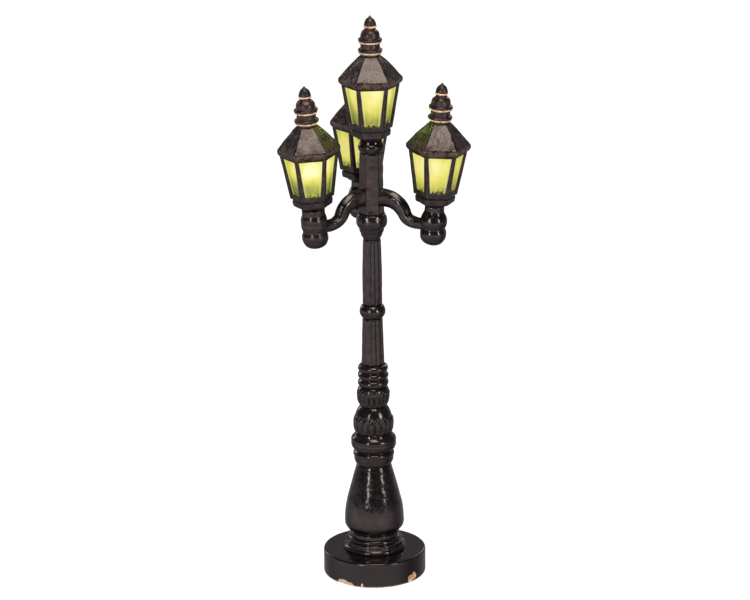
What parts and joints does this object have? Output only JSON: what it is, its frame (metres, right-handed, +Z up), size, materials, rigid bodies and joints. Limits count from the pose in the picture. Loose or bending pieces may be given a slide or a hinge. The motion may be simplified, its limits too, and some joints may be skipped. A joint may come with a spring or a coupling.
{
  "type": "miniature street lamp post",
  "caption": "Tabletop street lamp post with a round foot, turned and fluted post, S-shaped arms and lit six-sided lanterns.",
  "frame": {"origin": "centre of the foot's underside", "axes": "+Z up along the post, -Y to the front, one arm towards +Y"},
  "size_m": [0.0492, 0.0416, 0.15],
  "materials": {
    "enamel": "thick gloss brown-black enamel on cast resin",
    "roof_enamel": "satin brown enamel on cast resin",
    "copper": "bright copper wire",
    "pane": "translucent yellow-green, lit from inside",
    "lamp_lens": "diffused lens",
    "wire_insulation": "lacquered wire",
    "tube_brass": "drawn tube",
    "black_plastic": "moulded, fine grain",
    "plated_steel": "nickel-plated",
    "board": "solder-resist lacquer",
    "resistor": "glazed ceramic chip"
  },
  "bodies": {
    "root": {"base_disc": "enamel", "base_moulding": "enamel", "pear_pedestal": "enamel", "pedestal_collar": "enamel", "lower_bulb": "enamel", "upper_bulb": "enamel", "triple_ring": "enamel", "lower_shaft": "enamel", "shaft_collar": "enamel", "upper_shaft": "enamel", "hub": "enamel", "upper_column": "enamel", "arm_left": "enamel", "arm_right": "enamel", "arm_back": "enamel", "socket_top": "enamel", "socket_left": "enamel", "socket_right": "enamel", "socket_back": "enamel", "frame_top": "enamel", "frame_left": "enamel", "frame_right": "enamel", "frame_back": "enamel", "finial_top": "enamel", "finial_left": "enamel", "finial_right": "enamel", "finial_back": "enamel", "roof_top": "roof_enamel", "roof_left": "roof_enamel", "roof_right": "roof_enamel", "roof_back": "roof_enamel", "finial_rings_top": "copper", "finial_rings_left": "copper", "finial_rings_right": "copper", "finial_rings_back": "copper", "glazing_top": "pane", "glazing_left": "pane", "glazing_right": "pane", "glazing_back": "pane", "led_top": "lamp_lens", "led_left": "lamp_lens", "led_right": "lamp_lens", "led_back": "lamp_lens", "leads_top": "wire_insulation", "leads_left": "wire_insulation", "leads_right": "wire_insulation", "leads_back": "wire_insulation", "tie_tube": "tube_brass", "tie_nut": "tube_brass", "cell_holder": "black_plastic", "switch_body": "black_plastic", "coin_cell": "plated_steel", "cell_contact_top": "plated_steel", "cell_contact_side": "plated_steel", "base_screws": "plated_steel", "circuit_board": "board", "led_resistors": "resistor"},
    "cover": {"battery_cover": "black_plastic"},
    "knob": {"switch_knob": "black_plastic"}
  },
  "joints": [
    {"name": "cover_turn", "type": "hinge", "parent": "root", "child": "cover", "pos_m": [0, 0, 0.0007], "axis": [0, 0, -1], "range_deg": [0, 30]},
    {"name": "switch_slide", "type": "slide", "parent": "root", "child": "knob", "axis": [1, 0, 0], "range_m": [0, 0.0015]}
  ]
}
